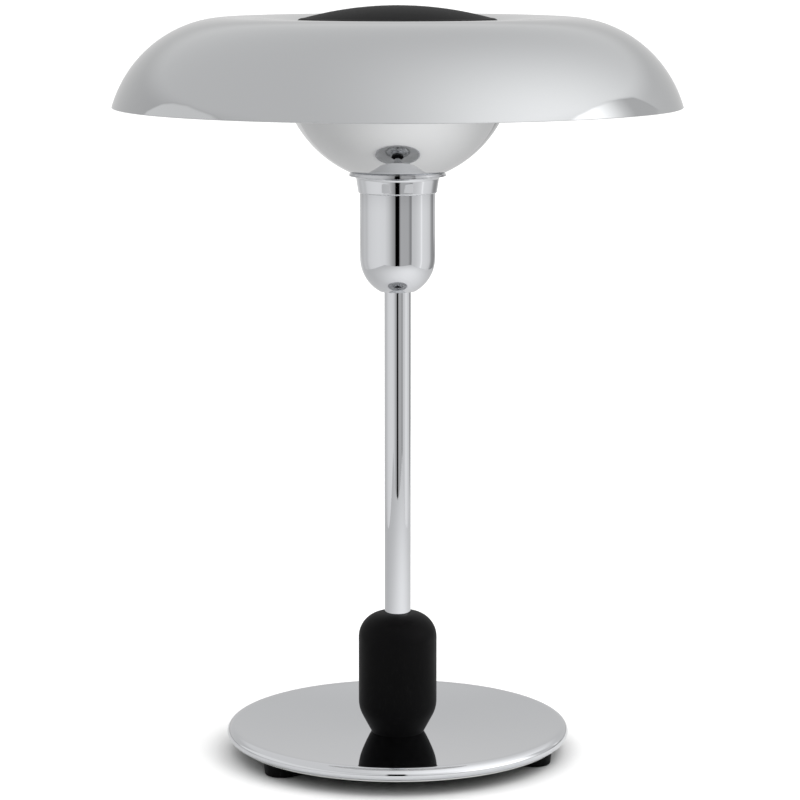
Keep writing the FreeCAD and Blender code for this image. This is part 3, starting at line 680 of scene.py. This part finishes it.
class LAMP_OT_cup(bpy.types.Operator):
    """Turn the round-bottomed cup and the flared collar over it"""
    bl_idname = "desk_lamp.cup"
    bl_label = "Cup and collar"

    def execute(self, context):
        s = settings().head
        low = bottom("cup")
        high = top("cup")
        wall = s.cup_wall
        bore = 0.0052
        centre = s.cup_radius - s.cup_round
        rise = leg(s.cup_round, s.cup_floor - centre)
        inner = s.cup_round - wall
        corners = [
            (bore, low), (s.cup_floor, low, LEFT, s.cup_round), (s.cup_radius, low + rise),
            (s.cup_radius, high), (s.cup_radius - wall, high),
            (s.cup_radius - wall, low + rise, RIGHT, inner),
            (centre + leg(inner, rise - wall), low + wall), (bore, low + wall),
        ]
        mesh = turn_profile(corners, FACET_CUP, settings().finishes.mirror_facets)
        finish_piece(mesh, "cup_plated", chrome(), "stand", ["cup"])
        collar_top = top("collar")
        spigot = s.cup_radius - wall
        lip = s.collar_lip
        overhang = 0.0038
        step = 0.0009
        neck = lip - overhang
        foot = neck - step
        lip_low = collar_top - step
        foot_round = step
        flare = 0.0024
        holder_bore = 0.0153
        plate = 0.002
        plate_low = collar_top - plate
        sphere = s.bowl_mouth + s.bowl_draw
        bowl_floor = s.bowl_seat
        ring = lip - s.lip_ledge
        ring_rise = leg(sphere, bowl_floor) - leg(sphere, ring)
        corners = [
            (spigot - wall, bottom("collar")), (spigot, bottom("collar")), (spigot, high),
            (foot - foot_round, high, LEFT, foot_round), (foot, high + foot_round),
            (neck, lip_low - flare, RIGHT, flare), (neck + flare, lip_low), (lip, lip_low),
            (lip, collar_top), (ring, collar_top), (ring, collar_top + ring_rise),
            (bowl_floor, collar_top), (holder_bore, collar_top), (holder_bore, plate_low),
            (spigot - wall, plate_low),
        ]
        mesh = turn_profile(corners, FACET_COLLAR, settings().finishes.mirror_facets)
        finish_piece(mesh, "collar_plated", chrome(), "stand", ["collar"])
        return {"FINISHED"}


class LAMP_OT_bowl(bpy.types.Operator):
    """Turn the reflector bowl"""
    bl_idname = "desk_lamp.bowl"
    bl_label = "Reflector bowl"

    def execute(self, context):
        s = settings().head
        sphere = s.bowl_mouth + s.bowl_draw
        low = bottom("bowl")
        mouth = top("bowl")
        wall = s.bowl_wall
        centre_rise = leg(sphere, s.bowl_seat)
        mouth_drop = leg(sphere, s.bowl_mouth)
        bore = 0.0143
        corners = [
            (bore, low), (s.bowl_seat, low, LEFT, sphere), (s.bowl_mouth, mouth),
            (leg(sphere - wall, mouth_drop), mouth, RIGHT, sphere - wall),
            (leg(sphere - wall, centre_rise - wall), low + wall), (bore, low + wall),
        ]
        mesh = turn_profile(corners, FACET_BOWL, settings().finishes.mirror_facets)
        finish_piece(mesh, "bowl_polished", polished_bowl(), "stand", ["bowl"])
        return {"FINISHED"}


class LAMP_OT_carrier(bpy.types.Operator):
    """Finish the carrier that holds the shade"""
    bl_idname = "desk_lamp.carrier"
    bl_label = "Carrier"

    def execute(self, context):
        arms = [f"carrier_arm_{side}" for side in ("rear", "left", "right")]
        coat_node(["carrier_ring", "carrier_hub", *arms], nickel_steel())
        coat_node(["ring_nut", "holder_cap", "holder_body", "holder_insert"], white_thermoset())
        coat_node(["seat_gasket"], silicone())
        coat_node(["screw_shell"], threaded_brass())
        coat_node(["centre_contact", "terminal_screws", "shade_boss"], bright_brass())
        return {"FINISHED"}


class LAMP_OT_shade(bpy.types.Operator):
    """Turn the spun shade"""
    bl_idname = "desk_lamp.shade"
    bl_label = "Shade"

    def execute(self, context):
        s = settings().shade
        wall = s.wall
        flat = bottom("cap")
        crown = flat + s.dip
        dip_level = s.dip_round - s.dip
        crown_radius = s.seat + leg(s.dip_round, dip_level)
        flank = s.flank_round
        shoulder = s.shoulder_round
        across = math.sin(s.slope)
        up = math.cos(s.slope)
        shoulder_height = crown - shoulder
        flank_height = shoulder_height + (shoulder - flank) * up
        flank_centre = crown_radius + (shoulder - flank) * across
        rim = flank_height + leg(flank, s.radius - flank_centre)
        inner_dip = s.dip_round - wall
        inner_rim = flank_centre + leg(flank - wall, rim - flank_height)
        corners = [
            (s.radius, rim, LEFT, flank),
            (crown_radius + shoulder * across, shoulder_height + shoulder * up, LEFT, shoulder),
            (crown_radius, crown, LEFT, s.dip_round),
            (s.seat, flat), (s.hole, flat), (s.hole, flat - wall),
            (crown_radius - leg(inner_dip, dip_level - wall), flat - wall, RIGHT, inner_dip),
            (crown_radius, crown - wall, RIGHT, shoulder - wall),
            (crown_radius + (shoulder - wall) * across, shoulder_height + (shoulder - wall) * up,
             RIGHT, flank - wall),
            (inner_rim, rim, LEFT, s.edge),
        ]
        mesh = turn_profile(corners, FACET_SHADE, settings().finishes.mirror_facets)
        for face in mesh.faces:
            middle = face.calc_center_median()
            if face.normal.z < 0 and (middle.z > rim + wall or middle.xy.length < inner_rim):
                face.material_index = 1
        finish_piece(mesh, "shade_polished", polished_shade(), "shade_with_cap", ["shade"],
                     second=white_lacquer())
        return {"FINISHED"}


class LAMP_OT_cap(bpy.types.Operator):
    """Turn the black cap"""
    bl_idname = "desk_lamp.cap"
    bl_label = "Cap"

    def execute(self, context):
        s = settings().shade
        low = bottom("cap")
        apex = low + s.cap_rise
        wall = 0.002
        edge = s.cap_radius - s.cap_edge
        dome = (edge ** 2 + s.cap_dome ** 2) / (2 * s.cap_dome)
        inner_dome = dome - wall
        rim_wall = 0.0034
        inner_edge = s.cap_radius - rim_wall
        stud_hole = 0.0055
        stud = 0.003
        boss = 0.006
        heel = 0.0009
        corners = [
            (0.0, low + stud_hole), (stud, low + stud_hole), (stud, low), (boss, low),
            (boss, apex - dome + leg(inner_dome, boss), RIGHT, inner_dome),
            (inner_edge, apex - dome + leg(inner_dome, inner_edge)), (inner_edge, low),
            (s.cap_radius - heel, low, LEFT, heel), (s.cap_radius, low + heel, LEFT, s.cap_edge),
            (edge, apex - dome + leg(dome, edge), LEFT, dome), (0.0, apex),
        ]
        mesh = turn_profile(corners, FACET_SHADE, settings().finishes.facets)
        finish_piece(mesh, "cap_satin", satin_black(), "shade_with_cap", ["cap"])
        return {"FINISHED"}


class LAMP_OT_bulb(bpy.types.Operator):
    """Turn the globe bulb"""
    bl_idname = "desk_lamp.bulb"
    bl_label = "Bulb"

    def execute(self, context):
        s = settings().bulb
        high = top("bulb_glass")
        low = bottom("bulb_glass")
        centre = high - s.radius
        wall = 0.0008
        drop = leg(s.radius, s.join)
        neck = bottom("bulb_contact") + s.neck_rise
        share = (s.radius - wall) / s.radius
        corners = [
            (0.0, high - wall, RIGHT, s.radius - wall), (s.radius - wall, centre, RIGHT, s.radius - wall),
            (s.join * share, centre - drop * share, LEFT, s.neck_round + wall), (s.neck - wall, neck),
            (s.neck - wall, low), (s.neck, low), (s.neck, neck, RIGHT, s.neck_round),
            (s.join, centre - drop, LEFT, s.radius), (s.radius, centre, LEFT, s.radius), (0.0, high),
        ]
        mesh = turn_profile(corners, FACET_BOWL, settings().finishes.bulb_facets)
        finish_piece(mesh, "bulb_globe", opal_glass(), "bulb", ["bulb_glass"])
        coat_node(["bulb_cap"], threaded_nickel())
        coat_node(["bulb_contact"], nickel_steel())
        coat_node(["bulb_insulator"], black_glass())
        return {"FINISHED"}


class LAMP_OT_fixings(bpy.types.Operator):
    """Finish the weight, the plate and the fixings"""
    bl_idname = "desk_lamp.fixings"
    bl_label = "Weight, plate and fixings"

    def execute(self, context):
        coat_node(["base_weight"], cast_iron())
        coat_node(["base_plate", "foot_screws"], zinc_steel())
        coat_node(["base_washer", "base_nut", "cup_washer", "cup_nut"], zinc_steel())
        coat_node(["lower_nipple", "upper_nipple", "cap_stud"], threaded_zinc())
        coat_node(["cord_bush"], black_nylon())
        return {"FINISHED"}


# Bearings in degrees from the front to the right, each with the tone that mirrors see there:
# close to the horizon, higher up on the panels, and last the height in degrees where the panels end.
WALLS_LOW = [
    (-180, 0.72), (-155, 0.81), (-135, 0.68), (-122, 0.80), (-109, 0.76), (-99, 0.93), (-82, 1.00),
    (-60, 1.04), (-39, 1.01), (-26, 0.82), (-14, 0.52), (-8, 0.40), (-6.4, 0.0), (5.0, 0.0), (7, 0.45),
    (11, 0.60), (33, 0.59), (38, 0.40), (42.5, 0.33), (44.5, 0.80), (56, 0.86), (66, 0.95), (74, 1.05),
    (78, 1.35), (83, 1.06), (100, 1.00), (115, 0.88), (122, 0.60), (128, 0.42), (143, 0.34), (160, 0.60),
    (180, 0.72),
]
WALLS_HIGH = [
    (-180, 0.76), (-130, 0.80), (-125, 1.04), (-60, 1.04), (-7.4, 0.88), (-6.4, 0.0), (5.0, 0.0),
    (6.0, 0.88), (30, 1.10), (50, 1.90), (60, 2.40), (88, 2.30), (104, 1.05), (110, 0.76), (126, 0.74),
    (130, 1.20), (150, 0.95), (180, 0.76),
]
PANEL_LOWEST = -10
PANEL_HIGHEST = 40
PANEL_TOPS = [
    (-180, -2), (-142, -2), (-130, 8), (-125.6, 13), (-120, 17.5), (-112, 24.6), (-106, 27.3), (-97, 29),
    (-85, 28.2), (-72, 26.3), (-50, 23), (-7.6, 20), (-7, 25), (5.6, 25), (6.2, 20), (50, 23),
    (69, 26.3), (77, 27.9), (88, 30.3), (99, 30.8), (107, 29.3), (116, 26.5), (122, 21), (126, 17),
    (132, 12), (142, -2), (180, -2),
]


class LAMP_OT_studio(bpy.types.Operator):
    """Set the floor, the reflected dome, the light and the camera"""
    bl_idname = "desk_lamp.studio"
    bl_label = "Studio"

    def execute(self, context):
        self.floor()
        self.dome()
        self.light()
        self.camera()
        return {"FINISHED"}

    def staged(self, mesh, name, build):
        """An object of the studio, which is no part of the lamp."""
        data = bpy.data.meshes.new(name)
        mesh.to_mesh(data)
        mesh.free()
        data.shade_smooth()
        data.materials.append(make_material(name, build))
        item = bpy.data.objects.new(name, data)
        bpy.context.scene.collection.objects.link(item)
        return item

    def floor(self):
        """A pale floor that mirrors as a table of its own size."""
        s = settings().studio

        def build(nodes):
            x, y, _ = nodes.parts(nodes.place())
            aside = nodes.maths("GREATER_THAN", nodes.maths("ABSOLUTE", x), s.table)
            ahead = nodes.maths("LESS_THAN", y, -s.table_front)
            behind = nodes.maths("GREATER_THAN", y, s.table_back)
            outside = nodes.maths("MAXIMUM", nodes.maths("MAXIMUM", aside, ahead), behind)
            path = nodes.add("ShaderNodeLightPath")
            under = nodes.add("ShaderNodeNewGeometry").outputs["Backfacing"]
            beyond = nodes.maths("MULTIPLY", outside, path.outputs["Is Glossy Ray"])
            away = nodes.maths("MAXIMUM", beyond, under)
            through = path.outputs["Is Transmission Ray"]
            direct = nodes.maths("MAXIMUM", path.outputs["Is Camera Ray"], through)
            across = nodes.maths("SUBTRACT", x, s.pool_x)
            along = nodes.maths("SUBTRACT", y, s.pool_y)
            spread = nodes.maths("ADD", nodes.square(across), nodes.square(along))
            pool = nodes.maths("EXPONENT", nodes.maths("MULTIPLY", spread, -0.5 / s.pool_reach ** 2))
            mirrored = nodes.maths("MULTIPLY_ADD", pool, s.pool_tone, s.floor_mirrored)
            contact = nodes.add("ShaderNodeAmbientOcclusion", samples=12)
            contact.inputs["Distance"].default_value = s.contact_reach
            shaded = nodes.maths("POWER", contact.outputs["AO"], s.contact)
            seen = nodes.maths("MULTIPLY", shaded, s.floor_seen)
            paper = nodes.add("ShaderNodeBsdfDiffuse")
            nodes.join(nodes.blend(direct, mirrored, seen), paper.inputs["Color"])
            clear = nodes.add("ShaderNodeBsdfTransparent")
            pick = nodes.add("ShaderNodeMixShader")
            nodes.join(away, pick.inputs[0])
            nodes.join(paper.outputs[0], pick.inputs[1])
            nodes.join(clear.outputs[0], pick.inputs[2])
            nodes.join(pick.outputs[0], nodes.output.inputs["Surface"])

        mesh = bmesh.new()
        bmesh.ops.create_grid(mesh, x_segments=1, y_segments=1, size=FLOOR_REACH)
        self.staged(mesh, "studio_floor", build)

    def dome(self):
        """A dome that only mirrors see: side panels, a slit for the lens and soft light above."""
        s = settings().studio

        def build(nodes):
            unit = nodes.add("ShaderNodeVectorMath", operation="NORMALIZE")
            nodes.join(nodes.place(), unit.inputs[0])
            x, y, z = nodes.parts(unit.outputs[0])
            azimuth = nodes.maths("ARCTAN2", x, nodes.maths("MULTIPLY", y, -1.0))
            around = nodes.spread(azimuth, -math.pi, math.pi, 0.0, 1.0)
            height = nodes.maths("DEGREES", nodes.maths("ARCSINE", z))

            def ring(stops, scale=1.0, shift=0.0):
                return nodes.ramp(around, [((a + 180) / 360, ((v + shift) * scale,) * 3) for a, v in stops])

            low = ring(WALLS_LOW)
            high = ring(WALLS_HIGH)
            span = PANEL_HIGHEST - PANEL_LOWEST
            share = ring(PANEL_TOPS, 1 / span, -PANEL_LOWEST)
            panel_top = nodes.spread(share, 0.0, 1.0, PANEL_LOWEST, PANEL_HIGHEST)
            band = nodes.blend(nodes.spread(height, 1.0, 9.0, 0.0, 1.0, True), low, high)
            flat = math.cos(s.glow_height)
            towards = (math.sin(s.glow_side) * flat, -math.cos(s.glow_side) * flat, math.sin(s.glow_height))
            facing = nodes.maths("MAXIMUM", nodes.inner(unit.outputs[0], towards), 0.0)
            glow = nodes.maths("POWER", facing, s.glow_power)
            sky = nodes.maths("MULTIPLY_ADD", glow, s.glow_tone, s.sky_tone)
            sky = nodes.maths("MULTIPLY", sky, nodes.spread(height, 21.0, 32.0, 1.0, s.sky_lift, True))
            below = nodes.maths("SUBTRACT", panel_top, height)
            inside = nodes.spread(below, -0.3, 0.3, 0.0, 1.0)
            edge = nodes.spread(nodes.maths("ABSOLUTE", below), 0.0, 0.9, 0.86, 1.0)
            off_horizon = nodes.maths("ABSOLUTE", nodes.maths("SUBTRACT", height, 1.2))
            horizon = nodes.spread(off_horizon, 1.0, 2.4, s.horizon_tone, 1.0, True)
            tone = nodes.blend(1.0, nodes.blend(inside, sky, band), horizon, "MULTIPLY")
            lamp = nodes.add("ShaderNodeEmission")
            nodes.join(nodes.blend(1.0, tone, edge, "MULTIPLY"), lamp.inputs["Color"])
            nodes.join(lamp.outputs[0], nodes.output.inputs["Surface"])

        mesh = bmesh.new()
        bmesh.ops.create_icosphere(mesh, subdivisions=5, radius=s.dome)
        dome = self.staged(mesh, "studio_dome", build)
        dome.visible_camera = False
        dome.visible_diffuse = False
        dome.visible_shadow = False
        dome.visible_transmission = False

    def light(self):
        """A white world, brighter from above on matt surfaces, and a broad lamp from the upper right."""
        s = settings().studio
        world = bpy.data.worlds.new("studio_world")
        world.use_nodes = True
        tree = world.node_tree
        tree.nodes.clear()
        place = tree.nodes.new("ShaderNodeTexCoord")
        split = tree.nodes.new("ShaderNodeSeparateXYZ")
        rise = tree.nodes.new("ShaderNodeMapRange")
        rise.inputs["To Min"].default_value = s.ground_light
        rise.inputs["To Max"].default_value = s.zenith_light
        path = tree.nodes.new("ShaderNodeLightPath")
        level = tree.nodes.new("ShaderNodeMix")
        level.inputs[2].default_value = 1.0
        sky = tree.nodes.new("ShaderNodeBackground")
        sky.inputs["Color"].default_value = (1.0, 1.0, 1.0, 1.0)
        output = tree.nodes.new("ShaderNodeOutputWorld")
        for source, target in (
            (place.outputs["Generated"], split.inputs[0]),
            (split.outputs["Z"], rise.inputs["Value"]),
            (path.outputs["Is Diffuse Ray"], level.inputs[0]),
            (rise.outputs[0], level.inputs[3]),
            (level.outputs[0], sky.inputs["Strength"]),
            (sky.outputs[0], output.inputs["Surface"]),
        ):
            tree.links.new(source, target)
        bpy.context.scene.world = world
        lamp = bpy.data.lights.new("broad_lamp", "AREA")
        lamp.shape = "SQUARE"
        lamp.size = s.lamp_size
        lamp.energy = s.lamp_energy
        item = bpy.data.objects.new("broad_lamp", lamp)
        item.location = (1.3, -0.5, 1.9)
        aim = Vector((0, 0, 0.1))
        item.rotation_euler = (aim - item.location).to_track_quat("-Z", "Y").to_euler()
        item.visible_glossy = False
        bpy.context.scene.collection.objects.link(item)

    def camera(self):
        """The camera at the photograph's place."""
        s = settings().studio
        data = bpy.data.cameras.new("camera")
        data.sensor_width = 36.0
        data.lens = s.lens
        data.clip_end = 100.0
        item = bpy.data.objects.new("camera", data)
        item.location = (s.offset, -s.distance, s.height)
        item.rotation_euler = (math.pi / 2 - s.tilt, 0, 0)
        bpy.context.scene.collection.objects.link(item)
        bpy.context.scene.camera = item
        bpy.context.scene.view_settings.view_transform = "Standard"


OPERATORS = (LAMP_OT_base, LAMP_OT_feet, LAMP_OT_stem, LAMP_OT_cup, LAMP_OT_bowl, LAMP_OT_carrier,
             LAMP_OT_shade, LAMP_OT_cap, LAMP_OT_bulb, LAMP_OT_fixings, LAMP_OT_studio)


class LAMP_PT_panel(bpy.types.Panel):
    """Sidebar panel of the desk lamp"""
    bl_label = "Desk lamp"
    bl_idname = "LAMP_PT_panel"
    bl_space_type = "VIEW_3D"
    bl_region_type = "UI"
    bl_category = "Lamp"

    def draw(self, context):
        for operator in OPERATORS:
            self.layout.operator(operator.bl_idname)
        for name in ("shade", "head", "stand", "bulb", "finishes", "studio"):
            box = self.layout.box()
            box.label(text=name.capitalize())
            group = getattr(context.scene.desk_lamp, name)
            for field in group.bl_rna.properties:
                if not field.is_readonly and field.identifier != "name":
                    box.prop(group, field.identifier)


CLASSES = (ShadeSizes, HeadSizes, StandSizes, BulbSizes, Finishes, Studio, LampSettings, *OPERATORS,
           LAMP_PT_panel)


def register():
    for item in CLASSES:
        bpy.utils.register_class(item)
    bpy.types.Scene.desk_lamp = PointerProperty(type=LampSettings)


def unregister():
    del bpy.types.Scene.desk_lamp
    for item in reversed(CLASSES):
        bpy.utils.unregister_class(item)


def main():
    register()
    for operator in OPERATORS:
        group, name = operator.bl_idname.split(".")
        getattr(getattr(bpy.ops, group), name)()


if __name__ == "__main__":
    main()
